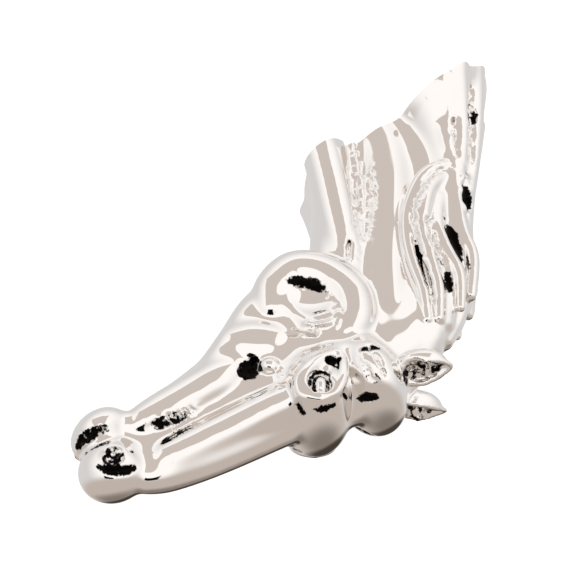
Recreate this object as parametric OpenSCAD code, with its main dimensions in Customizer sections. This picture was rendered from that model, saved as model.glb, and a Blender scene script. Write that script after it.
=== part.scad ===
// Figural cabinet knob: a horse's head and neck cast in one piece, standing on a flat base.
// A knurled insert in the base takes the mounting screw, and a dowel beside it stops the knob turning.
// Frame, in millimetres: the base lies on z = 0, the knob rises along +Z, the muzzle points along +X,
// and the origin is the screw's axis where it meets the base.

/* [Knob] */
// Overall length, from the muzzle to the rear edge of the base, which the whole casting is sized to
knob_length = 93; // [80:1:115]
// Corners around each round section of the casting
section_corners = 20; // [16:4:24]

/* [Head] */
// Radius of each cheek, seen from the side
cheek_r = 9.6; // [8:0.2:10.5]
// Half the width across the cheeks
cheek_half_width = 9.4; // [8.5:0.1:10.5]
// Half the width across the brows
brow_half_width = 9; // [8:0.1:10]
// Half the width of the bridge of the nose
nose_half_width = 5; // [4.4:0.1:6]
// Half the width of the muzzle
muzzle_half_width = 6.8; // [6:0.1:7.6]
// Radius of an eyeball
eyeball_r = 1.7; // [1.2:0.1:2]
// Half the distance between the tips of the ears
ear_spread = 6.6; // [6:0.1:7.6]
// Half the width of an ear at its middle
ear_half_width = 2.6; // [2.2:0.1:3]

/* [Neck] */
// Half the width of the neck at its waist
neck_half_width = 5; // [4.6:0.1:6]
// Half the width of the throat where it flares out at the base
throat_half_width = 9.8; // [8.4:0.1:10.4]
// Half the width across the mane at the base
mane_half_width = 11; // [9.8:0.1:11.8]
// Thickness of a lock of the mane
lock_thickness = 3.4; // [3:0.1:4.2]

/* [Mounting] */
// Radius of the threaded hole, which is the tapping radius of an M4 thread
thread_r = 1.65; // [1.4:0.05:2]
// Length of the threaded insert
insert_length = 9; // [7:0.5:12]
// Radius over the insert's knurling
insert_r = 3; // [2.6:0.1:3.4]
// Width and depth of each groove of the knurling
knurl_groove = 0.3; // [0.2:0.05:0.4]
// Number of grooves around the insert
knurl_count = 20; // [12:2:24]
// Distance from the screw's axis back to the dowel's
dowel_offset = 9; // [7:0.5:10]
// Radius of the dowel's free end
dowel_r = 1.2; // [1:0.05:1.6]
// How much thicker the dowel's pressed-in shank is, in radius
dowel_step = 0.3; // [0.2:0.05:0.4]
// How far the dowel is set into the casting
dowel_seat = 5; // [4:0.5:6]
// How far the dowel stands out of the base
dowel_reach = 2; // [1:0.25:4]

/* [Hidden] */

steps_per_row = 2;     // rings drawn for each row of a table
screw_clearance = 2;   // empty depth over the insert, for the end of a long screw
chamfer = 0.4;         // chamfer on the insert and the dowel, and the depth of the insert's waist
waist_length = 1.6;    // length of the plain waist in the middle of the insert's knurling
trim = 40;             // depth of the block that cuts the base flat
reach = 200;           // width of that block

// Skull, from the poll to the lips: [x, underside z, top z, half width]
skull_table = [
  [20, 25, 36, 4], [24, 18, 38.4, 6.4], [29, 13.6, 40, 7.6], [34, 13, 40, 7.8], [38, 14.2, 39.2, 7.4],
  [43, 15.8, 37.4, 6.6], [48, 16.6, 36.2, nose_half_width + 0.8], [54, 17.6, 35.5, nose_half_width + 0.2],
  [60, 18.4, 35.2, nose_half_width + 0.2], [66, 18.8, 33.6, nose_half_width + 0.6],
  [70, 20, 31.4, nose_half_width]
];
// Neck, from the base up: [z, rear x, front x, half width]
neck_table = [
  [-1, -14, 11, neck_half_width + 0.4], [4, -11, 13.5, neck_half_width], [11, -5.5, 18.5, neck_half_width],
  [18, 0, 22, neck_half_width + 0.6], [25, 5.5, 27, neck_half_width + 0.8], [31, 11, 31, 5.4],
  [35, 16, 32, 4.6]
];
// Throat, from the base up: [z, rear x, front x, half width]
throat_table = [
  [-1, 8.5, 17.2, throat_half_width], [1.5, 9, 17.8, throat_half_width - 1.2],
  [5, 10, 19.6, throat_half_width - 3.4], [10, 12, 23.6, throat_half_width - 4.4],
  [16, 15, 28, throat_half_width - 4], [21, 18, 31, throat_half_width - 4]
];
// Mane's thick rear edge, from the base up: [z, rear x, front x, half width]
mane_table = [
  [-1, -17.8, -3, mane_half_width], [2, -15.6, -3, mane_half_width - 1.6],
  [6, -12.4, -1, mane_half_width - 3.6], [12, -7, 3, mane_half_width - 5],
  [20, -0.6, 8, mane_half_width - 5.2], [28, 6, 14, mane_half_width - 5.4],
  [33, 12.4, 19, mane_half_width - 5.8], [36.5, 19, 24, mane_half_width - 6.6]
];
// Locks of the mane over one side of the neck, from the poll down to the base: [x, y, z]
mane_locks = [
  [[22, 2.4, 36.5], [16.6, 4.6, 31], [13.4, 5.6, 24], [10, 5.6, 17.5], [4, 5.4, 12], [-3, 6, 7.5],
   [-9, 6.8, 2.5]],
  [[19, 2.4, 36], [13, 4.2, 31], [8.6, 4.8, 24], [5, 4.8, 18], [-1, 4.6, 12.5], [-7, 5, 7.5],
   [-12, 5.6, 2.5]]
];

// Catmull-Rom curve through the rows of a table, at row number t
function row(table, i) = table[max(0, min(len(table) - 1, i))];
function curve(table, t) =
  let (i = floor(t), f = t - i,
       a = row(table, i - 1), b = row(table, i), c = row(table, i + 1), d = row(table, i + 2))
  0.5 * (2 * b + (c - a) * f + (2 * a - 5 * b + 4 * c - d) * f * f + (3 * b - a - 3 * c + d) * f * f * f);
function curve_rows(table) =
  [for (k = [0 : (len(table) - 1) * steps_per_row]) curve(table, k / steps_per_row)];

// Corner number k of a rounded outline that is a little squarer than an ellipse
function outline(k, square = 2.3) =
  let (angle = 360 * k / section_corners, power = 2 / square)
  [sign(cos(angle)) * pow(abs(cos(angle)), power), sign(sin(angle)) * pow(abs(sin(angle)), power)];

// Rings across the head, which stand upright, and rings across the neck, which lie level
function upright_ring(s) = [
  for (k = [0 : section_corners - 1]) let (o = outline(k))
    [s[0], s[3] * o[0], (s[2] + s[1]) / 2 + (s[2] - s[1]) / 2 * o[1]]
];
function level_ring(s) = [
  for (k = [0 : section_corners - 1]) let (o = outline(k))
    [(s[2] + s[1]) / 2 + (s[2] - s[1]) / 2 * o[0], s[3] * o[1], s[0]]
];
// Ring of radius r across a path, at its point number k
function path_ring(path, k, r, corners = 10) =
  let (along = path[min(k + 1, len(path) - 1)] - path[max(k - 1, 0)],
       u = cross(along, [0, 1, 0]) / norm(cross(along, [0, 1, 0])),
       v = cross(along, u) / norm(along))
  [for (j = [0 : corners - 1]) path[k] + r * (cos(360 * j / corners) * u + sin(360 * j / corners) * v)];

// Closed solid through a list of rings that all have the same number of corners
module loft(rings) {
  n = len(rings[0]);
  last = len(rings) - 1;
  polyhedron(
    points = [for (r = rings) each r],
    faces = concat(
      [[for (j = [0 : n - 1]) j]],
      [for (i = [0 : last - 1], j = [0 : n - 1]) each
        let (a = i * n + j, b = i * n + (j + 1) % n) [[a, a + n, b + n], [a, b + n, b]]],
      [[for (j = [n - 1 : -1 : 0]) last * n + j]]
    )
  );
}

module ellipsoid(centre, radii, turn = [0, 0, 0]) {
  translate(centre) rotate(turn) scale(radii) sphere(r = 1, $fn = section_corners);
}

module both_sides() {
  children();
  mirror([0, 1, 0]) children();
}

module skull() {
  loft([for (s = curve_rows(skull_table)) upright_ring(s)]);
}

module muzzle() {
  ellipsoid([69.6, 0, 26.6], [7, muzzle_half_width - 0.4, 5.8]);
  both_sides() ellipsoid([70.4, muzzle_half_width - 3, 27], [4.4, 3, 4]);
  // Chin and lower lip
  ellipsoid([68, 0, 21.4], [6.8, muzzle_half_width - 1.4, 4], [0, 8, 0]);
}

module nostril() {
  ellipsoid([72.6, muzzle_half_width - 0.4, 28.2], [2, 1.4, 1.2], [0, 30, 20]);
}

// Round cheek with a raised rim around its hollow middle
module cheek() {
  difference() {
    ellipsoid([31.4, cheek_half_width - 4.4, 21.4], [cheek_r, 4.4, cheek_r]);
    ellipsoid([33.4, cheek_half_width + 0.8, 22], [cheek_r - 4, 2.4, cheek_r - 4.6], [0, 30, 0]);
  }
}

module brow() {
  ellipsoid([39.2, brow_half_width - 4, 35.2], [5.4, 4, 4.4], [0, 15, 0]);
  ellipsoid([30.8, brow_half_width - 4.8, 36.6], [4.8, 4.4, 4.5]);
}

module eye_socket() {
  ellipsoid([40.6, brow_half_width + 0.6, 35], [3.4, 2.4, 2.2], [0, -20, 0]);
}

module eyeball() {
  ellipsoid([40.6, brow_half_width - eyeball_r - 0.2, 35], [eyeball_r + 0.6, eyeball_r, eyeball_r]);
}

// Cupped ear, laid back along the neck, with its hollow facing forwards and up
module ear() {
  root = [27.6, ear_spread - 2, 38];
  middle = [25, ear_spread - 0.4, 40.2];
  tip = [21.6, ear_spread - 0.6, 42.2];
  difference() {
    hull() {
      ellipsoid(root, [2, 2, 2]);
      ellipsoid(middle, [2, ear_half_width, 2], [0, 40, 0]);
      ellipsoid(tip, [0.6, 0.6, 0.6]);
    }
    ellipsoid(middle + [1, 0.2, 1.4], [3.4, ear_half_width - 0.8, 1.8], [0, 42, 0]);
  }
}

module neck() {
  loft([for (s = curve_rows(neck_table)) level_ring(s)]);
  loft([for (s = curve_rows(throat_table)) level_ring(s)]);
}

module mane() {
  loft([for (s = curve_rows(mane_table)) level_ring(s)]);
  both_sides() for (lock = mane_locks) {
    path = curve_rows(lock);
    last = len(path) - 1;
    loft([for (k = [0 : last]) path_ring(path, k, lock_thickness / 2 * (0.5 + 0.6 * sin(180 * k / last)))]);
  }
}

// The whole figure, sized to the knob's length and cut off flat at the base
module figure() {
  resize([knob_length, 0, 0], auto = true) difference() {
    union() {
      difference() {
        union() {
          skull();
          muzzle();
          both_sides() {
            cheek();
            brow();
          }
        }
        both_sides() {
          nostril();
          eye_socket();
        }
      }
      both_sides() {
        eyeball();
        ear();
      }
      neck();
      mane();
    }
    translate([-reach / 2, -reach / 2, -trim]) cube([reach, reach, trim]);
  }
}

module horse_head() {
  color("gainsboro") difference() {
    figure();
    translate([0, 0, -1]) cylinder(h = 1 + insert_length + screw_clearance, r = insert_r, $fn = 64);
    translate([-dowel_offset, 0, -1]) cylinder(h = 1 + dowel_seat, r = dowel_r + dowel_step, $fn = 64);
  }
}

module threaded_insert() {
  color("goldenrod") difference() {
    rotate_extrude($fn = 64) polygon([
      [thread_r, 0], [insert_r, 0], [insert_r, insert_length - chamfer],
      [insert_r - chamfer, insert_length], [thread_r, insert_length]
    ]);
    for (k = [0 : knurl_count - 1]) rotate(360 * k / knurl_count)
      translate([insert_r, 0, insert_length / 2]) rotate(45)
        cube([knurl_groove, knurl_groove, insert_length + 1], center = true);
    translate([0, 0, (insert_length - waist_length) / 2]) difference() {
      cylinder(h = waist_length, r = insert_r + 1, $fn = 64);
      translate([0, 0, -1]) cylinder(h = waist_length + 2, r = insert_r - chamfer, $fn = 64);
    }
  }
}

// Stepped dowel: its shank is pressed into the casting, and its free end enters a hole in the door
module locating_dowel() {
  shank_r = dowel_r + dowel_step;
  color("silver") translate([-dowel_offset, 0, 0]) rotate_extrude($fn = 64) polygon([
    [0, -dowel_reach], [dowel_r - chamfer, -dowel_reach], [dowel_r, chamfer - dowel_reach], [dowel_r, 0],
    [shank_r, 0], [shank_r, dowel_seat - chamfer], [shank_r - chamfer, dowel_seat], [0, dowel_seat]
  ]);
}

horse_head();
threaded_insert();
locating_dowel();
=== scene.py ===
"""Cabinet knob cast as a horse's head and neck: the looks around its fixed frame.

The casting is built up as clay: soft forms, rolls and cuts are laid into a block of small cells, the
block is turned into a mesh, and the mesh is trimmed flat and bored for the insert and the dowel.
"""

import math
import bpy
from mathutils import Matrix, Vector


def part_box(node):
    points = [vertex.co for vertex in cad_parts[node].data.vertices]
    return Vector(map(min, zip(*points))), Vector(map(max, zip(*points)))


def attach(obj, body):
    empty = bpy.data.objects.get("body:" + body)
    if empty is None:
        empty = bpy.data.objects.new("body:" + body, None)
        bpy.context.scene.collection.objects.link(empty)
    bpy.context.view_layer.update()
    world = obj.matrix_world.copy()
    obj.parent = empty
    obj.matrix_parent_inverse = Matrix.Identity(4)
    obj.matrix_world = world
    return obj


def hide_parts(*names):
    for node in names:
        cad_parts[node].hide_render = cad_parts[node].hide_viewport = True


bl_info = {
    "name": "Horse head cabinet knob",
    "version": (1, 0, 0),
    "blender": (4, 5, 0),
    "location": "View3D > Sidebar > Knob",
    "description": "Builds the plated casting, its threaded insert, its dowel and the studio",
    "category": "Object",
}

import bmesh
import bpy
import numpy as np
import openvdb
from mathutils import Matrix, Vector

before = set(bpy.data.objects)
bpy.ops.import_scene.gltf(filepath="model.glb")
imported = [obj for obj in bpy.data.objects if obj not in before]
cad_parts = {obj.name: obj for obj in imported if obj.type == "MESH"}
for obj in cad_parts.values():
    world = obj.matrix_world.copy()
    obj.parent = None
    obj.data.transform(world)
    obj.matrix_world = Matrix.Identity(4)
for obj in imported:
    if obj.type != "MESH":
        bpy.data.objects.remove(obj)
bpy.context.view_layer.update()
INSERT_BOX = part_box("threaded_insert")
DOWEL_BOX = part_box("locating_dowel")
MM = 0.001
SCREW_ROOM = 2 * MM  # depth of the hole over the insert
BORE_SIDES = 96
CREASE = math.radians(60)  # corners sharper than this stay crisp
AIM = (-0.0174, -0.0219, 0.017)  # point looked at, right of, above and in front of the screw's axis
CLIP = (0.01, 30)  # nearest and furthest that the camera sees


# ---------------------------------------------------------------- sizes and colours

class KnobCasting(bpy.types.PropertyGroup):
    """Sizes of the casting's surface"""

    cell: bpy.props.FloatProperty(
        name="Cell", description="Side of the cells that the casting is modelled in, in millimetres",
        default=0.32, min=0.2, max=0.8)
    form_softness: bpy.props.FloatProperty(
        name="Form softness", description="Polish that rounds the large forms, in millimetres",
        default=0.55, min=0.2, max=1.5)
    detail_softness: bpy.props.FloatProperty(
        name="Detail softness", description="Plating that rounds the small details, in millimetres",
        default=0.2, min=0.0, max=0.6)
    grain_size: bpy.props.FloatProperty(
        name="Grain size", description="Size of the cast grain left in the recesses, in millimetres",
        default=0.34, min=0.2, max=1.5)
    grain_depth: bpy.props.FloatProperty(
        name="Grain depth", description="Depth of the cast grain in the recesses, in millimetres",
        default=0.16, min=0.0, max=0.5)


class KnobFinish(bpy.types.PropertyGroup):
    """Colours of the metals, and of the painted shade in their recesses"""

    nickel: bpy.props.FloatVectorProperty(
        name="Nickel", description="Colour of the polished nickel plate",
        subtype="COLOR", size=3, default=(0.93, 0.91, 0.89), min=0, max=1)
    # Near-black painted shade and painted reflection of the dark lens, laid in the recesses and grooves
    painted_shade: bpy.props.FloatVectorProperty(
        name="Painted shade", description="Colour of the tarnish in the deep recesses",
        subtype="COLOR", size=3, default=(0.005, 0.004, 0.004), min=0, max=1)
    brass: bpy.props.FloatVectorProperty(
        name="Brass", description="Colour of the machined insert",
        subtype="COLOR", size=3, default=(0.72, 0.5, 0.2), min=0, max=1)
    steel: bpy.props.FloatVectorProperty(
        name="Steel", description="Colour of the zinc plated dowel",
        subtype="COLOR", size=3, default=(0.55, 0.56, 0.58), min=0, max=1)


class KnobStudio(bpy.types.PropertyGroup):
    """Where the camera stands, and the light tent"""

    azimuth: bpy.props.FloatProperty(
        name="Azimuth", description="Direction of the camera around the knob",
        subtype="ANGLE", default=math.radians(25))
    elevation: bpy.props.FloatProperty(
        name="Elevation", description="Height of the camera over the base",
        subtype="ANGLE", default=math.radians(26.5))
    roll: bpy.props.FloatProperty(
        name="Roll", description="Turn of the camera about its own axis",
        subtype="ANGLE", default=math.radians(220.8))
    lens: bpy.props.FloatProperty(
        name="Lens", description="Focal length of the camera", subtype="DISTANCE_CAMERA", default=400)
    view_width: bpy.props.FloatProperty(
        name="View width", description="Width of what the camera sees at the knob",
        unit="LENGTH", default=0.0837)
    floor_drop: bpy.props.FloatProperty(
        name="Floor drop", description="Depth of the floor under the knob's base",
        unit="LENGTH", default=0.25)
    floor_size: bpy.props.FloatProperty(
        name="Floor size", description="Width of the floor", unit="LENGTH", default=9.0)


# ---------------------------------------------------------------- modelling in cells

# Distances in mm
BLOCK = (-20, -2.4, -2.4), (79, 11.4, 45)  # lowest and highest corner of the block of cells
FAR = 6.0  # what a cell far from any metal holds
MARGIN = 1.0  # how far around a shape its cells are worked out
FADE = 0.6  # how far grain and painted shade reach from the cut that leaves them

# Distances in cells
LEAST_BLUR = 0.3  # a smaller blur is left out
BLUR_REACH = 2.5  # how far the bell curve of a blur runs, in blur sizes
MASK_BLUR = 0.6  # softness of the edges of grain and painted shade

GRAIN_SEED = 5
SMOOTHING_ROUNDS = 2
SETTLING_ROUNDS = 3
LEAST_SLOPE = 0.3  # keeps a point that settles from leaping where the field is nearly flat


def smooth_min(a, b, blend):
    """Least of two distances, rounded off where they are within blend of each other"""
    h = np.clip(0.5 + 0.5 * (b - a) / blend, 0, 1)
    return b + (a - b) * h - blend * h * (1 - h)


def spline(rows, steps):
    """Points along a smooth curve through the rows of a table, with steps to each row"""
    rows = np.array(rows, float)
    last = len(rows) - 1
    out = []
    for k in range(last * steps + 1):
        i, f = divmod(k / steps, 1)
        a, b, c, d = (rows[min(max(int(i) + n, 0), last)] for n in (-1, 0, 1, 2))
        out.append(0.5 * (2 * b + (c - a) * f + (2 * a - 5 * b + 4 * c - d) * f ** 2
                          + (3 * b - a - 3 * c + d) * f ** 3))
    return np.array(out)


def blur(field, size):
    """The field with each cell averaged over its neighbours, on a bell curve of that size in cells"""
    if size < LEAST_BLUR:
        return field
    reach = max(1, int(math.ceil(size * BLUR_REACH)))
    kernel = np.exp(-0.5 * (np.arange(-reach, reach + 1) / size) ** 2).astype(np.float32)
    kernel /= kernel.sum()
    for axis in range(3):
        padded = np.concatenate([
            np.repeat(np.take(field, [0], axis), reach, axis), field,
            np.repeat(np.take(field, [-1], axis), reach, axis)], axis)
        n = field.shape[axis]
        total = np.zeros_like(field)
        for k, weight in enumerate(kernel):
            part = [slice(None)] * 3
            part[axis] = slice(k, k + n)
            total += weight * padded[tuple(part)]
        field = total
    return field


class Clay:
    """A block of cells that holds one side of the casting, each with its distance from the surface
    in mm, under 0 in the metal. The other side is its mirror image across y = 0."""

    def __init__(self, low, high, cell):
        self.low, self.cell = np.array(low, float), cell
        self.axes = [np.arange(a, b + cell / 2, cell, dtype=np.float32) for a, b in zip(low, high)]
        self.field = np.full([len(a) for a in self.axes], FAR, np.float32)
        # Masks of cast grain and of painted shade, the near-black painted into cuts for their shade and dark
        # reflections
        self.grain, self.dark = np.zeros_like(self.field), np.zeros_like(self.field)

    def window(self, low, high):
        """Slices and coordinates of the cells between two corners"""
        cut = []
        for axis, a, b in zip(self.axes, low, high):
            i, j = np.searchsorted(axis, (a, b))
            cut.append(slice(max(int(i) - 1, 0), int(j) + 1))
        x, y, z = (axis[c] for axis, c in zip(self.axes, cut))
        return tuple(cut), x[:, None, None], y[None, :, None], z[None, None, :]

    def add(self, shape, blend=1.0, grain=0.0, clean=0.5):
        """Lays a shape on the metal. It is smooth and bright unless it is given grain, and it clears the
        grain and the painted shade from the metal within that distance in mm"""
        low, high, distance = shape
        cut, x, y, z = self.window(low - blend - MARGIN, high + blend + MARGIN)
        d = distance(x, y, z)
        self.field[cut] = smooth_min(self.field[cut], d, blend)
        for mask in (self.grain, self.dark):
            mask[cut] *= np.clip(d / clean, 0, 1)
        if grain:
            self.grain[cut] = np.maximum(self.grain[cut], grain * np.clip(1 - d / FADE, 0, 1))

    def cut(self, shape, blend=0.5, grain=0.0, dark=0.0):
        """Takes a shape out of the metal, and leaves cast grain and painted shade of that strength:
        near-black paint in the cut that stands for the shade and dark reflections there
        """
        low, high, distance = shape
        cut, x, y, z = self.window(low - blend - MARGIN, high + blend + MARGIN)
        d = distance(x, y, z)
        self.field[cut] = -smooth_min(-self.field[cut], d, blend)
        for mask, strength in ((self.grain, grain), (self.dark, dark)):
            if strength:
                mask[cut] = np.maximum(mask[cut], strength * np.clip(1 - d / FADE, 0, 1))

    def soften(self, size):
        """Rounds every edge off over that distance in mm"""
        self.field = blur(self.field, size / self.cell)

    def roughen(self, size, depth):
        """Lays cast grain of that size and depth where the cuts asked for it"""
        grit = np.random.default_rng(GRAIN_SEED).standard_normal(self.field.shape).astype(np.float32)
        grit = blur(grit, size / self.cell)
        grit /= grit.std()
        self.field += grit * depth * self.grain


def lump(centre, radii, turn=(0, 0, 0)):
    """Egg of the given radii, turned by degrees about x, y and z"""
    centre, radii = np.array(centre, float), np.array(radii, float)
    spin = np.array((Matrix.Rotation(math.radians(turn[2]), 3, "Z")
                     @ Matrix.Rotation(math.radians(turn[1]), 3, "Y")
                     @ Matrix.Rotation(math.radians(turn[0]), 3, "X")))
    reach = np.sqrt(((spin * radii) ** 2).sum(1))

    def distance(x, y, z):
        p = [x - centre[0], y - centre[1], z - centre[2]]
        q = [sum(spin[k, j] * p[k] for k in range(3)) / radii[j] for j in range(3)]
        far = np.sqrt(q[0] ** 2 + q[1] ** 2 + q[2] ** 2) + 1e-6
        slope = np.sqrt(sum((q[j] / radii[j]) ** 2 for j in range(3))) + 1e-6
        return (far * (far - 1) / slope).astype(np.float32)
    return centre - reach, centre + reach, distance


def roll(path, steps=6):
    """Roll of clay along a smooth path of (x, y, z, radius)"""
    points = spline(path, steps)
    low = (points[:, :3] - points[:, 3:]).min(0)
    high = (points[:, :3] + points[:, 3:]).max(0)

    def distance(x, y, z):
        best = None
        for a, b in zip(points, points[1:]):
            way = b[:3] - a[:3]
            p = (x - a[0], y - a[1], z - a[2])
            t = np.clip((p[0] * way[0] + p[1] * way[1] + p[2] * way[2]) / (way @ way + 1e-9), 0, 1)
            d = np.sqrt((p[0] - t * way[0]) ** 2 + (p[1] - t * way[1]) ** 2 + (p[2] - t * way[2]) ** 2)
            d = d - (a[3] + t * (b[3] - a[3]))
            best = d if best is None else np.minimum(best, d)
        return best.astype(np.float32)
    return low, high, distance


def hoop(centre, radii, turn, thick):
    """Closed roll around an oval outline on the side of the head, turned by degrees about y"""
    t, path, corners = math.radians(turn), [], 16
    for k in range(corners + 1):
        a = math.tau * k / corners
        u, v = radii[0] * math.cos(a), radii[1] * math.sin(a)
        path.append((centre[0] + u * math.cos(t) + v * math.sin(t), centre[1],
                     centre[2] - u * math.sin(t) + v * math.cos(t), thick))
    return roll(path, steps=2)


def barrel(rows, along, power=2.3):
    """Body through outlines set out along the x or z axis: (place, low, high, half width), where low
    and high are the outline's limits along the other of those two axes"""
    rows = spline(rows, steps=16)
    place = rows[:, 0]
    low = np.array([place[0], 0, rows[:, 1].min()]) if along == "x" else \
        np.array([rows[:, 1].min(), 0, place[0]])
    high = np.array([place[-1], rows[:, 3].max(), rows[:, 2].max()]) if along == "x" else \
        np.array([rows[:, 2].max(), rows[:, 3].max(), place[-1]])

    def distance(x, y, z):
        s, t = (x, z) if along == "x" else (z, x)
        near, far, half = (np.interp(s, place, rows[:, k]) for k in (1, 2, 3))
        tall = (far - near) / 2
        u, v = np.abs((t - (far + near) / 2) / tall), np.abs(y / half)
        size = (u ** power + v ** power) ** (1 / power) + 1e-6
        slope = np.sqrt((u ** (power - 1) / tall) ** 2 + (v ** (power - 1) / half) ** 2) \
            / size ** (power - 1) + 1e-3
        ends = np.maximum(place[0] - s, s - place[-1])
        return np.maximum((size - 1) / slope, ends).astype(np.float32)
    return low, high, distance


# ---------------------------------------------------------------- the horse, in millimetres

# Outlines for barrel: (place, low, high, half width)
SKULL = [
    (19, 26, 36, 3), (22, 22, 38, 4.4), (26, 17, 39.6, 5.6), (31, 14.5, 40, 6.2), (36, 15, 39.4, 6),
    (41, 16.2, 37.8, 5.2), (47, 17.2, 36.2, 3.9), (54, 18.2, 35.5, 3.1), (60, 18.8, 34.8, 2.9),
    (65, 20, 33.2, 2.9), (69, 22, 30.8, 2.2),
]
NECK = [
    (-3, -6, 11, 4.4), (0, -5, 12, 4.2), (4, -3.4, 13.8, 4.1), (8, -1.8, 16, 4), (12, 0.4, 19, 3.9),
    (18, 4, 22, 3.8), (25, 8, 27, 4.2), (31, 12, 31, 5), (35, 16, 32, 4.2),
]
THROAT = [
    (-3, 8.4, 16.4, 8.8), (0, 8.8, 17, 8), (2, 9.4, 17.8, 7.2), (4.5, 10.4, 19.2, 6.2),
    (7.5, 12.4, 21.4, 5.4), (11.5, 14.6, 24.6, 4.9), (16, 17.6, 28.4, 5), (21, 20, 31.4, 5.2),
]
MANE_ROOT = [
    (-3, -18, 0.4, 10.4), (0, -17.4, 0.2, 9.9), (2.5, -15.4, -0.2, 8.6), (6, -12, 0.4, 6.9),
    (11, -7.4, 2.4, 5.6), (16, -3, 5.6, 5), (22, 2, 9.6, 4.8), (28, 7.4, 14, 4.5), (33, 13.4, 19, 4),
    (36.5, 18.6, 24, 2.8),
]


def large_forms(clay):
    """Neck, skull, muzzle and cheek, before the polish that rounds them"""
    clay.add(barrel(SKULL, "x", 2.0), 0.1)
    clay.add(barrel(NECK, "z", 2.0), 1.6)
    clay.add(barrel(MANE_ROOT, "z", 2.0), 1.6)
    clay.add(roll([(0, 0, -3, 4), (0, 0, 9, 4), (3, 0, 13, 3.8)]), 1)
    clay.add(barrel(THROAT, "z", 2.3), 0.6)
    clay.add(roll([(13.6, 6.5, -3, 3.2), (14.3, 6.3, 0, 3.1), (15.7, 5.4, 3.6, 3), (17.7, 4.4, 8.2, 3),
                   (20.4, 3.1, 14.4, 2.9), (23.4, 2.5, 19.6, 2.6)]), 0.7)
    # Long muscle down the middle of the neck
    clay.add(roll([(3.2, 0.5, -2, 4.5), (4, 0.5, 2, 4.5), (8.2, 0.6, 8.6, 4.6), (12.8, 0.6, 14.6, 4.6),
                   (17.4, 0.7, 20.6, 4.6), (20.8, 0.7, 25.6, 4.6), (24, 0.6, 29.6, 4.6),
                   (27, 0.6, 33, 4.6)]), 0.6)
    # Brow and poll, which cross the forehead as two broad bands
    clay.add(lump((39.8, 0, 33.8), (5.2, 9.1, 6.2), (0, 8, 0)), 0.6)
    clay.add(lump((39.6, 5, 34), (4.4, 3.5, 4.2)), 1.0)
    clay.add(lump((30.8, 0, 35), (4.9, 8.9, 7.5)), 0.6)
    # Jaw, side of the nose and its bridge
    clay.add(roll([(32, 1.8, 17, 4.3), (37, 1.9, 17.2, 4.2), (43, 1.8, 19.6, 3.8),
                   (50, 1.5, 22.2, 3.3)]), 0.8)
    clay.add(roll([(65.6, 0.6, 22.8, 2.2), (63.2, 1.6, 22.9, 2.8), (60, 1.8, 23, 3.2), (54, 2, 23, 3.3),
                   (49.6, 2.3, 23.1, 3.3), (47, 2.8, 22.8, 2.4)]), 0.4)
    clay.add(roll([(65.6, 0.5, 29.2, 2.3), (62.6, 1.4, 30, 2.8), (57, 1.8, 30.6, 3), (50, 2.2, 31.3, 3.1),
                   (44.6, 3, 32.2, 3.1)]), 0.4)
    clay.add(roll([(67.4, 0, 30.2, 2.5), (64, 0, 31.3, 2.9), (56, 0, 32.7, 3), (46, 0, 33.6, 3.2)]), 0.8)
    # Muzzle and chin
    clay.add(lump((68.6, 0, 20.4), (5, 5.1, 3.6)), 0.6)
    clay.add(lump((70.6, 0, 26.4), (5.5, 4.8, 4.9)), 0.4)
    clay.cut(roll([(66.8, 4.6, 22.8, 0.9), (67.2, 4.5, 26, 1), (66.8, 4.2, 29.6, 0.9)]), 0.9)
    # Cheek, the valleys below and in front of it, and the patch between them
    clay.add(lump((31.4, 3.2, 21.2), (9.3, 4.2, 9.3)), 0.6)
    clay.add(roll([(30, 4.6, 31.2, 2.4), (34, 4.8, 30.6, 2.6), (38, 4.5, 29.8, 2.4),
                   (42, 3.6, 29.4, 1.8)]), 0.8)
    clay.cut(roll([(39.6, 8, 24.6, 1.8), (37.6, 8.2, 26.2, 2), (35, 8.5, 27.8, 2), (32.4, 8.7, 29, 1.8),
                   (30, 8.8, 29.8, 1.5)]), 0.9)
    clay.add(lump((41.8, 4.8, 21.5), (5.4, 1.5, 3.5), (8, 34, 0)), 0.9)
    clay.cut(hoop((41.8, 7.7, 21.5), (5.5, 3.8), 34, 2.15), 0.9)


def cheek_details(clay):
    """Ring of the cheek around its hollow, and the pit in front of it"""
    clay.add(roll([(36.6, 4.5, 18, 2.4), (34.4, 4.7, 15.6, 3), (30, 4.6, 14.8, 3.4), (26.8, 4.6, 17.6, 3.5),
                   (25.7, 4.7, 22.2, 3.5), (27.2, 4.8, 26, 3.2), (29.6, 4.9, 27.8, 2.7),
                   (31.8, 4.8, 28.2, 1.8)]), 0.7)
    clay.cut(lump((31.9, 9.6, 21), (4.9, 3.5, 4.4), (0, 30, 0)), 0.7)
    clay.cut(roll([(33.2, 8, 17.2, 0.5), (31.4, 7.8, 17.8, 1), (29.8, 7.7, 19.8, 1.1), (29, 7.9, 22, 0.7)]),
             0.3, 0.3, 1.0)
    # Folds in the lower part of the hollow
    for fold in ([(29.6, 7.2, 25.4, 0.35), (31.4, 7, 26, 0.45), (33.4, 7, 25.4, 0.4), (35, 6.8, 24, 0.3)],
                 [(29.4, 7, 24, 0.3), (31, 6.7, 24.7, 0.4), (33, 6.7, 24, 0.3)],
                 [(34.4, 6.9, 26.4, 0.3), (36, 6.8, 25.2, 0.35), (37.4, 6.7, 23.4, 0.25)]):
        clay.add(roll(fold), 0.25, 0.5)
    # Pit in front of the cheek, with a bead beside it
    clay.cut(lump((45.6, 5.5, 25.3), (2.3, 1.8, 1.6), (0, -16, 0)), 0.35, 0.3, 1.0)
    clay.add(lump((42.9, 4.8, 26.4), (1.5, 1.3, 1.3), (0, 30, 0)), 0.4)


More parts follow.
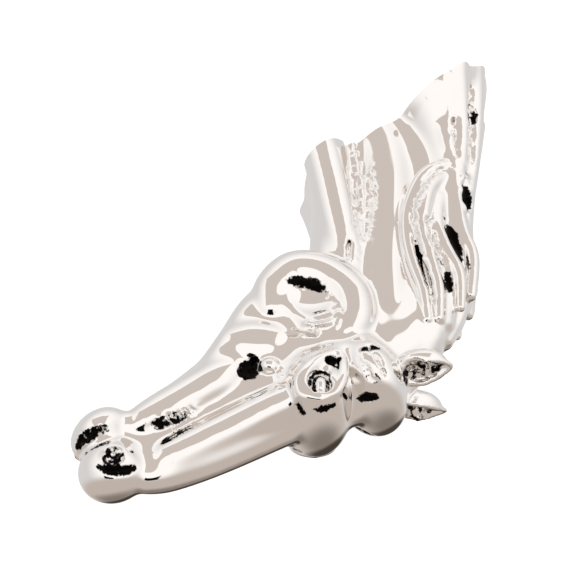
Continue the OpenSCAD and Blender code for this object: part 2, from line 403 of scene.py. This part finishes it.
def nose_details(clay):
    """Grooves along the side of the face, which have ribs across them"""
    # Groove along the side of the face, with ribs across its deep end
    clay.cut(roll([(63.2, 4.3, 25.2, 0.5), (61, 4.1, 25.7, 0.9), (57.4, 4.2, 26.2, 0.8),
                   (54, 4.6, 26.8, 0.4)]),
             0.3, 0.8, 0.92)
    for x, tall in ((60.6, 0.32), (59.4, 0.26), (58.2, 0.28), (57, 0.24), (56, 0.24)):
        clay.add(roll([(x, 3.9, 25.2, tall), (x - 0.5, 3.8, 27.4, tall)]), 0.15, clean=0.2)
    clay.cut(roll([(54, 4.9, 28, 0.15), (49, 5.2, 29.2, 0.2), (43.6, 6.1, 30.6, 0.15)]), 0.25, 0.9)
    # Short groove with ribs from the pit to the eye
    clay.cut(roll([(47, 5.6, 28.4, 0.35), (45, 5.8, 28.6, 0.6), (42, 6.3, 28.4, 0.45), (39, 6.7, 28.2, 0.2)]),
             0.3, 0.8, 0.9)
    for x in (44.6, 43.2, 42, 40.8, 39.8):
        clay.add(roll([(x, 5.4, 27.4, 0.22), (x - 0.5, 5.4, 29.4, 0.22)]), 0.12, clean=0.2)


def muzzle_details(clay):
    """Mouth, nostril and lip"""
    # Mouth
    clay.cut(roll([(75.6, 0, 21.2, 0.7), (73.6, 2.2, 20.8, 0.7), (71.8, 3.8, 21.2, 0.75),
                   (70, 4.8, 21.9, 0.7), (68.2, 5, 22.5, 0.55), (66.6, 4.9, 23, 0.3)]), 0.25, 0.7, 0.95)
    # Fold under the nostril, the nostril and the lip between them
    # The fold is painted near-black: a painted reflection of the dark lens under the nostril
    clay.cut(roll([(73.8, 4.6, 24.8, 0.25), (73.8, 4.4, 26.7, 0.45), (72.8, 4.3, 28.3, 0.6),
                   (70.8, 4, 29.3, 0.6), (69, 3.4, 29.4, 0.25)]), 0.25, 0.0, 0.95)
    clay.cut(lump((71.1, 5.3, 26.6), (2, 1.6, 1.6), (0, -40, 0)), 0.15, 1.0, 0.8)


def eye_details(clay):
    """Eye, its lids, and the creases of the brow and the temple"""
    # Crease between the brow and the poll
    clay.cut(roll([(35.6, -2, 40.4, 0.3), (35.6, 3, 40.3, 0.3), (35.4, 6, 38.9, 0.3), (34.8, 8.2, 36.4, 0.3),
                   (33.6, 8.4, 33, 0.3), (31.6, 7.8, 30.6, 0.2)]), 0.3)
    # Lids around a deep socket that is pointed at the back
    clay.add(roll([(41.2, 7.1, 36.4, 1), (42.8, 7, 34.6, 1), (42.2, 7.4, 32.6, 1), (39.8, 7.6, 31.3, 0.95),
                   (37, 7.5, 30.9, 0.8), (34, 6.9, 31.3, 0.6), (34.8, 7.3, 33.4, 0.8),
                   (36.6, 7.6, 35.6, 0.95), (38.9, 7.4, 36.8, 1), (41.2, 7.1, 36.4, 1)]), 0.4)
    clay.cut(roll([(35.4, 8.6, 32, 0.8), (38, 8.8, 33, 1.3), (40, 8.8, 34.2, 1.7),
                   (39.8, 8.8, 35, 1.6)]), 0.25)
    clay.cut(hoop((39.9, 7.4, 34.7), (1.45, 2.1), 36, 0.4), 0.1, 0.0, 0.85)
    clay.add(lump((39.9, 7, 34.8), (1.05, 1.5, 1.7), (0, 36, 0)), 0.05)
    clay.cut(lump((35.8, 7.6, 32.2), (1.1, 1.2, 0.6), (0, 20, 0)), 0.1, 0.4, 1.0)
    # Folds under the lids
    clay.cut(roll([(43.6, 6.6, 36.8, 0.3), (42.4, 6.6, 38, 0.6), (40.6, 6.8, 38.5, 0.5),
                   (39.4, 6.8, 38.5, 0.2)]),
             0.25, 0.0, 1.0)
    clay.cut(roll([(44, 6, 34.8, 0.3), (44.3, 5.3, 36.2, 0.6), (44.6, 4.6, 37.4, 0.3)]), 0.25, 0.0, 0.9)
    clay.cut(roll([(34.9, 3.9, 38, 0.4), (34.2, 4.7, 38.9, 0.7), (33.3, 5.1, 39.7, 0.4)]), 0.2, 0.2, 1.0)
    # Wrinkles over the temple
    for fold in ([(33, 8.4, 34, 0.2), (32.6, 7.9, 36.4, 0.35), (32.8, 7, 38.2, 0.2)],
                 [(31, 8.7, 34.4, 0.2), (30.6, 8.3, 36.6, 0.35), (31.2, 7.4, 38.6, 0.2)]):
        clay.cut(roll(fold), 0.3, 0.6)
    clay.cut(roll([(31.6, 8.4, 33.6, 0.2), (30, 8.4, 34, 0.4), (28.8, 8.2, 34.8, 0.2)]), 0.25, 0.3, 0.8)


def ears(clay):
    """Pointed ear with a rim around its cup"""
    clay.add(lump((24.6, 5.3, 38.9), (4.1, 3, 2.2), (-16, 33, -14)), 0.6)
    clay.cut(lump((25.4, 5.4, 40.4), (2.9, 2.4, 1.9), (-16, 33, -14)), 0.2, 0.9, 0.85)
    clay.cut(lump((23.2, 6, 41.5), (1.7, 1.3, 1.2), (-16, 33, -14)), 0.2, 0.9, 0.85)
    # Ribs across the cup, at shares of its length
    for share in (0.25, 0.45, 0.65):
        x, z = 27.2 - 5.4 * share, 37.2 + 3.4 * share
        clay.add(roll([(x + 0.3, 3.8, z + 0.9, 0.25), (x, 5.4, z + 0.4, 0.25),
                       (x - 0.2, 7.2, z + 0.7, 0.25)]),
                 0.15, clean=0.15)
    clay.add(roll([(27.4, 2.5, 38.6, 0.45), (27.7, 4, 37.9, 0.45), (27.4, 5.8, 37.7, 0.45),
                   (26.2, 7.5, 37.9, 0.45),
                   (24.4, 7.9, 39.1, 0.45), (22.8, 7.3, 40.5, 0.45), (21.1, 6.1, 41.8, 0.4),
                   (22.3, 4.7, 41.6, 0.45),
                   (23.8, 3.6, 41.1, 0.45), (25.3, 2.8, 40.3, 0.45),
                   (27.4, 2.5, 38.6, 0.45)]), 0.3, clean=0.3)


def throat_grooves(clay):
    """Grooves down the throat, and the rough ridge between them"""
    clay.cut(roll([(9.2, 5.9, -1, 0.5), (10.4, 5.3, 2, 0.55), (13.4, 5, 6.4, 0.5), (17.8, 5, 12.2, 0.45),
                   (21.8, 5.2, 17.1, 0.35)]), 0.6, 0.3)
    clay.add(roll([(8.2, 4.2, -1, 0.7), (12.2, 3.9, 7.2, 0.6), (16.7, 4, 13.2, 0.6),
                   (20.9, 4.3, 17.6, 0.5)]), 0.3, 0.6)
    clay.cut(roll([(6.4, 5.3, -1, 0.4), (10.6, 4.9, 7.8, 0.4), (15.3, 5, 13.6, 0.4),
                   (20.4, 5.3, 18.2, 0.25)]),
             0.35, 0.6)


def mane(clay):
    """Strands and locks of the mane, and the grooves between them"""
    ridges = (
        # Upper strands, up to the rear corner of the base
        [(-7.4, 8.2, -1, 1.4), (-6.2, 6.3, 2.6, 1.1), (-4, 5.7, 6.2, 0.9), (-2.6, 5.2, 9.4, 0.7)],
        [(-11.2, 8.2, -1, 2.3), (-9, 6.1, 3.4, 1.6), (-6.2, 5, 7.8, 1.3), (-3.6, 4.4, 11.4, 0.9)],
        [(-14.6, 4.8, -1, 2.3), (-11.4, 4.5, 4, 1.8), (-7.6, 3.6, 9.2, 1.4), (-4.4, 3, 13.2, 1)],
        # Rear edge
        [(-11, 1.4, 6, 1.3), (-6.4, 2, 11, 1.2), (-2.2, 2.4, 15.4, 1.2), (2.4, 2.2, 20.8, 1.2),
         (6, 1.8, 26, 1.2), (11.6, 1.2, 32, 1.1), (16.4, 0.6, 35, 1)],
        # Lower locks, which hook forward from the rear edge
        [(-1.6, 3.6, 13.6, 0.9), (1.6, 3.9, 17.6, 1.1), (4, 3.8, 22, 1.1), (5.4, 3.2, 26.4, 1.1),
         (9.4, 2.6, 31.4, 1)],
        [(3.6, 4.5, 15.4, 0.9), (7.2, 5, 19.8, 1.1), (8.6, 4.8, 24.2, 1.1), (9.6, 4.5, 28.6, 1),
         (12.6, 3.8, 33, 0.8)],
        [(0.6, 4.6, 12.6, 0.8), (3.6, 5.3, 13.4, 1.1), (6.6, 5.6, 15.6, 1.3), (9.8, 5.6, 19.4, 1.2),
         (11.6, 5.4, 23.6, 1.1), (13.6, 5, 28.6, 1), (16.6, 4.2, 33, 0.8)],
        [(-3.4, 3.4, 12.6, 0.7), (-0.8, 4.9, 11.4, 0.8), (1.8, 5.4, 10.9, 0.9), (4.9, 5.3, 11.8, 1),
         (9.2, 5, 15, 1), (12, 4.8, 18.6, 1), (14.2, 4.8, 23, 1), (16, 4.7, 28, 0.9), (18.2, 4.3, 32.2, 0.8)],
    )
    clay.add(roll([(2, 3.2, 13.4, 2), (6.6, 3.4, 18.6, 2.1), (9.6, 3.4, 23.6, 2.1), (12.6, 3, 29, 1.9),
                   (15.6, 2.4, 33, 1.6)]), 0.8)
    for ridge in ridges:
        clay.add(roll(ridge), 0.35)
    # Grooves as (path, grain, strength of the painted shade): near-black painted into them for their shade
    # and dark reflections
    grooves = (
        ([(-9.4, 8.9, -1, 0.2), (-7.7, 6.9, 3.4, 0.35), (-5, 6, 7.4, 0.3), (-3, 5.4, 11, 0.2)], 0.5, 0.0),
        ([(-13.8, 7.6, -1, 0.2), (-10.8, 6.4, 3.6, 0.4), (-7.5, 5.1, 8.6, 0.35),
          (-4.6, 4.1, 12.8, 0.25)], 0.6, 0.0),
        ([(-1.2, 5.6, 12.2, 0.15), (2, 6.3, 12, 0.25), (5.8, 6.5, 13.8, 0.25), (9.7, 6.2, 17.2, 0.2),
          (12, 6, 21.2, 0.2), (14, 5.8, 26, 0.2), (16, 5.4, 30.8, 0.2)], 0.9, 0.0),
        ([(8.2, 6, 18, 0.3), (9.7, 5.9, 22, 0.5), (10.9, 5.6, 25.8, 0.5), (11.8, 5.4, 28.4, 0.4)], 1.0, 0.5),
        ([(10.8, 5.8, 26.8, 0.5), (11.7, 5.4, 28.8, 0.8), (12.6, 5.1, 30.4, 0.4)], 0.3, 1.0),
        ([(4.8, 5.9, 18.8, 0.3), (5.9, 5.5, 21.4, 0.8), (6.7, 4.9, 24.6, 0.9),
          (7.6, 4.4, 28, 0.5)], 0.3, 1.0),
        ([(-3.2, 4.6, 13.4, 0.4), (-1, 4.3, 16.6, 0.7), (1.6, 4, 20.4, 0.4)], 1.0, 0.0),
        ([(-1.2, 4.2, 16, 0.6), (0.2, 3.9, 18.4, 0.7)], 0.5, 1.0),
        ([(-9.6, 5.8, 6.4, 0.5), (-9, 5.6, 7.2, 0.4)], 0.5, 1.0),
        ([(7.4, 2.8, 31.6, 0.3), (11.6, 2.2, 34.6, 0.45), (15, 1.8, 36, 0.3)], 0.8, 0.8),
    )
    for path, grain, dark in grooves:
        clay.cut(roll(path), 0.3, grain, dark)


def horse_cells(casting):
    """One side of the casting as a block of cells"""
    clay = Clay(*BLOCK, casting.cell)
    large_forms(clay)
    clay.soften(casting.form_softness)
    cheek_details(clay)
    nose_details(clay)
    muzzle_details(clay)
    eye_details(clay)
    ears(clay)
    throat_grooves(clay)
    mane(clay)
    clay.soften(casting.detail_softness)
    clay.roughen(casting.grain_size, casting.grain_depth)
    return clay


def sample(field, low, cell, points):
    """Values of a field of cells at points in mm, read between the cells. Its first cell is at low."""
    place = (points - low) / cell
    corner = np.clip(np.floor(place).astype(int), 0, np.array(field.shape) - 2)
    f = place - corner
    total = 0
    for i in (0, 1):
        for j in (0, 1):
            for k in (0, 1):
                w = abs(1 - i - f[:, 0]) * abs(1 - j - f[:, 1]) * abs(1 - k - f[:, 2])
                total = total + w * field[corner[:, 0] + i, corner[:, 1] + j, corner[:, 2] + k]
    return total


def mirrored(field, clay):
    """The block with its other side, and the place of its first cell"""
    first = int(round(-clay.low[1] / clay.cell))
    half = field[:, first:, :]
    low = clay.low.copy()
    low[1] = -(half.shape[1] - 1) * clay.cell
    return np.concatenate([half[:, :0:-1, :], half], axis=1), low


def settle(points, field, low, cell):
    """Moves points in mm onto the surface of the field"""
    step = cell * 0.5
    for _ in range(SETTLING_ROUNDS):
        d = sample(field, low, cell, points)
        slope = np.stack([
            (sample(field, low, cell, points + step * e) - sample(field, low, cell, points - step * e))
            / (2 * step) for e in np.eye(3)], 1)
        points = points - (d / np.maximum((slope ** 2).sum(1), LEAST_SLOPE))[:, None] * slope
    return points


def drop_specks(bm):
    """Deletes the loose beads of metal that the cast grain leaves beside the body"""
    unseen, bodies = set(bm.verts), []
    while unseen:
        body = [unseen.pop()]
        for vert in body:
            for edge in vert.link_edges:
                other = edge.other_vert(vert)
                if other in unseen:
                    unseen.remove(other)
                    body.append(other)
        bodies.append(body)
    bodies.sort(key=len)
    bmesh.ops.delete(bm, geom=[vert for body in bodies[:-1] for vert in body], context="VERTS")


def meshed(clay):
    """Closed mesh of both sides of the casting, in metres"""
    field, low = mirrored(clay.field, clay)
    grid = openvdb.FloatGrid(FAR)
    grid.copyFromArray(np.clip(field, -FAR, FAR))
    points, quads = grid.convertToQuads(0.0)
    bm = bmesh.new()
    corners = [bm.verts.new(p) for p in points * clay.cell + low]
    for a, b, c, d in quads:
        bm.faces.new((corners[a], corners[b], corners[c], corners[d]))
    drop_specks(bm)
    for _ in range(SMOOTHING_ROUNDS):
        bmesh.ops.smooth_vert(bm, verts=bm.verts, factor=0.5, use_axis_x=True, use_axis_y=True,
                              use_axis_z=True)
    settled = settle(np.array([vert.co for vert in bm.verts]), field, low, clay.cell)
    for vert, place in zip(bm.verts, settled):
        vert.co = place * MM
    bmesh.ops.recalc_face_normals(bm, faces=bm.faces)
    return bm


def cut_flat(bm):
    """Cuts the neck off flat at the base and fills the cut"""
    bmesh.ops.bisect_plane(bm, geom=bm.verts[:] + bm.edges[:] + bm.faces[:], plane_co=(0, 0, 0),
                           plane_no=(0, 0, -1), clear_outer=True)
    bmesh.ops.edgeloop_fill(bm, edges=[edge for edge in bm.edges if edge.is_boundary])
    bmesh.ops.recalc_face_normals(bm, faces=bm.faces)


def new_piece(name, bm, smooth=True):
    """Object that takes over the bmesh"""
    mesh = bpy.data.meshes.new(name)
    bm.to_mesh(mesh)
    bm.free()
    piece = bpy.data.objects.new(name, mesh)
    bpy.context.collection.objects.link(piece)
    mesh.polygons.foreach_set("use_smooth", [smooth] * len(mesh.polygons))
    return piece


def bore(piece, node_box, room=0.0):
    """Bores the round hole into the base that a node sits in, with room over the node"""
    low, high = node_box
    radius, depth = (high.x - low.x) / 2, high.z + room
    bm = bmesh.new()
    bmesh.ops.create_cone(bm, cap_ends=True, segments=BORE_SIDES, radius1=radius, radius2=radius,
                          depth=2 * depth)
    bmesh.ops.translate(bm, verts=bm.verts, vec=((low.x + high.x) / 2, 0, 0))
    drill = new_piece("drill", bm)
    cut = piece.modifiers.new("bore", "BOOLEAN")
    cut.operation, cut.solver, cut.object = "DIFFERENCE", "EXACT", drill
    bpy.context.view_layer.objects.active = piece
    if "FINISHED" not in bpy.ops.object.modifier_apply(modifier=cut.name):
        raise RuntimeError("The hole in the base couldn't be bored.")
    bpy.data.objects.remove(drill)


def lay_masks(mesh, clay):
    """Gives each point of the mesh the grain and the painted shade that its cell holds"""
    points = np.empty(len(mesh.vertices) * 3)
    mesh.vertices.foreach_get("co", points)
    points = points.reshape(-1, 3) / MM
    for name, mask in (("grain", clay.grain), ("dark", clay.dark)):
        field, low = mirrored(blur(mask, MASK_BLUR), clay)
        values = np.clip(sample(field, low, clay.cell, points), 0, 1)
        layer = mesh.attributes.new(name, "FLOAT", "POINT")
        layer.data.foreach_set("value", values.astype(np.float32))


# ---------------------------------------------------------------- materials

# Fineness of the patterns on the metals, in repeats to a metre
PLATE_SCALE = 300
MACHINED_SCALE = 900
GRAIN_SCALE = 1400
PAINTED_SHADE_SCALE = 1500

# Least and greatest roughness of each metal
NICKEL_ROUGHNESS = (0.035, 0.06)
BRASS_ROUGHNESS = (0.22, 0.38)
STEEL_ROUGHNESS = (0.25, 0.4)
GRAIN_DULLNESS = 0.1  # roughness that full grain adds

# Painted shade: near-black paint in the recesses that stands for their shade and dark reflections
PAINTED_SHADE_RAGGEDNESS = 0.9
PAINTED_SHADE_EDGE = (0.98, 1.1)  # painted shade and its ragged noise, added, where it starts and where it is full
GRAIN_BUMP = {"Strength": 0.8, "Distance": 0.3 * MM}

# The light tent. Its colours are over one another in this order. A direction is in degrees up and to the
# right of the lens. A glow has the two cosines of the angle from its middle where it starts and is full,
# and a card has its half width, half height and edge in degrees.
TENT_SIDES = (0.7, 0.69, 0.69, 1)
TENT_GLOWS = (
    ((1.08, 1.05, 1.03, 1), (40, 8), (-0.1, 0.85)),  # lamp over the lens
    ((0.55, 0.485, 0.44, 1), (-85, 4), (0.05, 0.5)),  # table
    ((0.24, 0.205, 0.18, 1), (-112, 8), (0.7, 1.0)),  # shade behind the table
    ((0.06, 0.05, 0.04, 1), (-148, 12), (0.9, 0.98)),  # dark room behind that
)
TENT_CARDS = (
    ((0.64, 0.575, 0.535, 1), (54, -3, 29, 25, 1.5)),  # grey card
    ((0.004, 0.004, 0.004, 1), (-6, -4, 15, 9, 2)),  # lens and its hood
)


def noise(tree, place, scale, detail):
    """Noise pattern's strength at a place"""
    node = tree.nodes.new("ShaderNodeTexNoise")
    node.inputs["Scale"].default_value = scale
    node.inputs["Detail"].default_value = detail
    tree.links.new(place, node.inputs["Vector"])
    return node.outputs["Fac"]


def maths(tree, operation, *values):
    """Result of a sum with decimal numbers and other nodes' outputs"""
    node = tree.nodes.new("ShaderNodeMath")
    node.operation = operation
    for k, value in enumerate(values):
        if isinstance(value, float):
            node.inputs[k].default_value = value
        else:
            tree.links.new(value, node.inputs[k])
    return node.outputs["Value"]


def ramp(tree, value, low, high, kind="LINEAR"):
    """Mask that is 0 where the value is low and 1 where it is high"""
    node = tree.nodes.new("ShaderNodeMapRange")
    node.interpolation_type = kind
    node.inputs["From Min"].default_value, node.inputs["From Max"].default_value = low, high
    tree.links.new(value, node.inputs["Value"])
    return node.outputs["Result"]


def over(tree, base, colour, mask):
    """A colour laid over a base, which is a colour or another node's output, through a mask"""
    mix = tree.nodes.new("ShaderNodeMix")
    mix.data_type = "RGBA"
    tree.links.new(mask, mix.inputs["Factor"])
    if isinstance(base, tuple):
        mix.inputs["A"].default_value = base
    else:
        tree.links.new(base, mix.inputs["A"])
    mix.inputs["B"].default_value = colour
    return mix.outputs["Result"]


def metal_unevenness():
    """Effect that every metal uses, made once: its roughness wanders between a low and a high value"""
    group = bpy.data.node_groups.get("metal_unevenness")
    if group:
        return group
    group = bpy.data.node_groups.new("metal_unevenness", "ShaderNodeTree")
    for name, kind in (("Vector", "Vector"), ("Scale", "Float"), ("Low", "Float"), ("High", "Float")):
        group.interface.new_socket(name=name, in_out="INPUT", socket_type="NodeSocket" + kind)
    group.interface.new_socket(name="Value", in_out="OUTPUT", socket_type="NodeSocketFloat")
    n, link = group.nodes, group.links.new
    enter, leave = n.new("NodeGroupInput"), n.new("NodeGroupOutput")
    pattern, spread = n.new("ShaderNodeTexNoise"), n.new("ShaderNodeMapRange")
    pattern.inputs["Detail"].default_value = 3
    link(enter.outputs["Vector"], pattern.inputs["Vector"])
    link(enter.outputs["Scale"], pattern.inputs["Scale"])
    link(pattern.outputs["Fac"], spread.inputs["Value"])
    link(enter.outputs["Low"], spread.inputs["To Min"])
    link(enter.outputs["High"], spread.inputs["To Max"])
    link(spread.outputs["Result"], leave.inputs["Value"])
    return group


def metal(name, colour, roughness, scale):
    """Metal whose roughness varies a little over the surface. Returns it, the place on the surface and
    its roughness there."""
    material = bpy.data.materials.new(name)
    material.use_nodes = True
    tree = material.node_tree
    shader = tree.nodes["Principled BSDF"]
    shader.inputs["Metallic"].default_value = 1.0
    shader.inputs["Base Color"].default_value = (*colour, 1)
    place = tree.nodes.new("ShaderNodeTexCoord").outputs["Object"]
    uneven = tree.nodes.new("ShaderNodeGroup")
    uneven.node_tree = metal_unevenness()
    uneven.inputs["Scale"].default_value = scale
    uneven.inputs["Low"].default_value, uneven.inputs["High"].default_value = roughness
    tree.links.new(place, uneven.inputs["Vector"])
    tree.links.new(uneven.outputs["Value"], shader.inputs["Roughness"])
    return material, place, uneven.outputs["Value"]


def nickel_material(finish):
    """Bright plate, with cast grain left where the polish can't reach, and ragged near-black painted shade
    and painted reflection in the recesses
    """
    material, place, roughness = metal("polished_nickel", finish.nickel, NICKEL_ROUGHNESS, PLATE_SCALE)
    tree = material.node_tree
    shader, link = tree.nodes["Principled BSDF"], tree.links.new
    grain, dark = tree.nodes.new("ShaderNodeAttribute"), tree.nodes.new("ShaderNodeAttribute")
    grain.attribute_name, dark.attribute_name = "grain", "dark"
    # Painted shade: near-black mixed into the plate's colour where the dark mask and noise run high, for the
    # shade and dark reflections in the recesses
    spots = maths(tree, "MULTIPLY_ADD", noise(tree, place, PAINTED_SHADE_SCALE, 2), PAINTED_SHADE_RAGGEDNESS,
                  dark.outputs["Fac"])
    colour = over(tree, (*finish.nickel, 1), (*finish.painted_shade, 1), ramp(tree, spots, *PAINTED_SHADE_EDGE))
    link(colour, shader.inputs["Base Color"])
    dull = maths(tree, "MULTIPLY_ADD", grain.outputs["Fac"], GRAIN_DULLNESS, roughness)
    link(dull, shader.inputs["Roughness"])
    bump = tree.nodes.new("ShaderNodeBump")
    for name, value in GRAIN_BUMP.items():
        bump.inputs[name].default_value = value
    height = maths(tree, "MULTIPLY", noise(tree, place, GRAIN_SCALE, 3), grain.outputs["Fac"])
    link(height, bump.inputs["Height"])
    link(bump.outputs["Normal"], shader.inputs["Normal"])
    return material


def tent_light(towards, up):
    """White tent all round, with a grey card over the lens, the dark lens, and shade below and behind.
    The lens is at towards, with up as its upright."""
    world = bpy.data.worlds.new("light_tent")
    bpy.context.scene.world = world
    world.use_nodes = True
    tree = world.node_tree
    everywhere = tree.nodes.new("ShaderNodeTexCoord").outputs["Generated"]
    right = up.cross(towards)

    def tilted(upwards, sideways):
        """Direction that many degrees up and to the right of the lens"""
        v, h = math.radians(upwards), math.radians(sideways)
        return (towards * math.cos(v) + up * math.sin(v)) * math.cos(h) + right * math.sin(h)

    def along(direction):
        """Cosine of the angle from a direction"""
        dot = tree.nodes.new("ShaderNodeVectorMath")
        dot.operation = "DOT_PRODUCT"
        dot.inputs[1].default_value = direction
        tree.links.new(everywhere, dot.inputs[0])
        return dot.outputs["Value"]

    def card(upwards, sideways, wide, tall, edge):
        """Mask of a card, on the side of the tent that its middle is on"""
        centre = tilted(upwards, sideways)
        across = (right - centre * right.dot(centre)).normalized()
        mask = ramp(tree, along(centre), 0.0, 0.05, "SMOOTHSTEP")
        for axis, half in ((across, wide), (centre.cross(across), tall)):
            off = maths(tree, "ABSOLUTE", along(axis))
            limits = (math.sin(math.radians(angle)) for angle in (half, half - edge))
            mask = maths(tree, "MINIMUM", mask, ramp(tree, off, *limits, "SMOOTHSTEP"))
        return mask

    sky = TENT_SIDES
    for colour, middle, fade in TENT_GLOWS:
        sky = over(tree, sky, colour, ramp(tree, along(tilted(*middle)), *fade, "SMOOTHSTEP"))
    for colour, shape in TENT_CARDS:
        sky = over(tree, sky, colour, card(*shape))
    tree.links.new(sky, tree.nodes["Background"].inputs["Color"])


# ---------------------------------------------------------------- operators

class KNOB_OT_horse_head(bpy.types.Operator):
    """Models the plated casting and puts it in place of the plain one"""

    bl_idname = "knob.horse_head"
    bl_label = "Horse Head"

    def execute(self, context):
        casting, finish = context.scene.knob_casting, context.scene.knob_finish
        clay = horse_cells(casting)
        bm = meshed(clay)
        cut_flat(bm)
        piece = new_piece("horse_head_casting", bm)
        bore(piece, INSERT_BOX, SCREW_ROOM)
        bore(piece, DOWEL_BOX)
        piece.data.set_sharp_from_angle(angle=CREASE)
        lay_masks(piece.data, clay)
        piece.data.materials.append(nickel_material(finish))
        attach(piece, "root")
        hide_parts("horse_head")
        return {"FINISHED"}


class KNOB_OT_fixings(bpy.types.Operator):
    """Gives the insert and the dowel their metals"""

    bl_idname = "knob.fixings"
    bl_label = "Fixings"

    def execute(self, context):
        finish = context.scene.knob_finish
        for node, name, colour, roughness in (
                ("threaded_insert", "machined_brass", finish.brass, BRASS_ROUGHNESS),
                ("locating_dowel", "zinc_plated_steel", finish.steel, STEEL_ROUGHNESS)):
            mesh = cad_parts[node].data
            mesh.materials.clear()
            mesh.materials.append(metal(name, colour, roughness, MACHINED_SCALE)[0])
        return {"FINISHED"}


def place_camera(studio, right, up, towards, turn):
    """Camera that looks at the knob from one direction"""
    camera = bpy.data.objects.new("camera", bpy.data.cameras.new("camera"))
    camera.data.lens = studio.lens
    camera.data.clip_start, camera.data.clip_end = CLIP
    distance = studio.view_width * studio.lens / camera.data.sensor_width
    camera.location = right * AIM[0] + up * AIM[1] + towards * AIM[2] + towards * distance
    camera.rotation_mode = "QUATERNION"
    camera.rotation_quaternion = turn
    bpy.context.collection.objects.link(camera)
    bpy.context.scene.camera = camera


def lay_floor(studio):
    """Sheet of white paper, lit as well as bright. It isn't in the metal's reflections."""
    bm = bmesh.new()
    bmesh.ops.create_grid(bm, x_segments=1, y_segments=1, size=studio.floor_size / 2)
    bmesh.ops.translate(bm, verts=bm.verts, vec=(0, 0, -studio.floor_drop))
    floor = new_piece("floor", bm, smooth=False)
    paper = bpy.data.materials.new("white_paper")
    paper.use_nodes = True
    shader = paper.node_tree.nodes["Principled BSDF"]
    for name, value in (("Base Color", (0.97, 0.97, 0.97, 1)), ("Roughness", 0.9),
                        ("Emission Color", (1, 1, 1, 1)), ("Emission Strength", 0.6)):
        shader.inputs[name].default_value = value
    floor.data.materials.append(paper)
    floor.visible_glossy = False


class KNOB_OT_studio(bpy.types.Operator):
    """Sets up the floor, the light tent and the camera"""

    bl_idname = "knob.studio"
    bl_label = "Studio"

    def execute(self, context):
        studio = context.scene.knob_studio
        a, e = studio.azimuth, studio.elevation
        towards = Vector((math.sin(a) * math.cos(e), -math.cos(a) * math.cos(e), math.sin(e)))
        turn = towards.to_track_quat("Z", "Y") @ Matrix.Rotation(-studio.roll, 4, "Z").to_quaternion()
        right, up = turn @ Vector((1, 0, 0)), turn @ Vector((0, 1, 0))
        place_camera(studio, right, up, towards, turn)
        tent_light(towards, up)
        lay_floor(studio)
        context.scene.view_settings.view_transform = "Standard"
        return {"FINISHED"}


class KNOB_PT_panel(bpy.types.Panel):
    """Lists the knob's pieces"""

    bl_idname = "KNOB_PT_panel"
    bl_label = "Cabinet Knob"
    bl_space_type = "VIEW_3D"
    bl_region_type = "UI"
    bl_category = "Knob"

    def draw(self, context):
        for settings in (context.scene.knob_casting, context.scene.knob_finish, context.scene.knob_studio):
            for name in settings.__annotations__:
                self.layout.prop(settings, name)
        for operator in (KNOB_OT_horse_head, KNOB_OT_fixings, KNOB_OT_studio):
            self.layout.operator(operator.bl_idname)


CLASSES = (KnobCasting, KnobFinish, KnobStudio, KNOB_OT_horse_head, KNOB_OT_fixings, KNOB_OT_studio,
           KNOB_PT_panel)


def register():
    for cls in CLASSES:
        bpy.utils.register_class(cls)
    bpy.types.Scene.knob_casting = bpy.props.PointerProperty(type=KnobCasting)
    bpy.types.Scene.knob_finish = bpy.props.PointerProperty(type=KnobFinish)
    bpy.types.Scene.knob_studio = bpy.props.PointerProperty(type=KnobStudio)


def unregister():
    del bpy.types.Scene.knob_casting, bpy.types.Scene.knob_finish, bpy.types.Scene.knob_studio
    for cls in reversed(CLASSES):
        bpy.utils.unregister_class(cls)


def main():
    register()
    bpy.ops.knob.horse_head()
    bpy.ops.knob.fixings()
    bpy.ops.knob.studio()


if __name__ == "__main__":
    main()
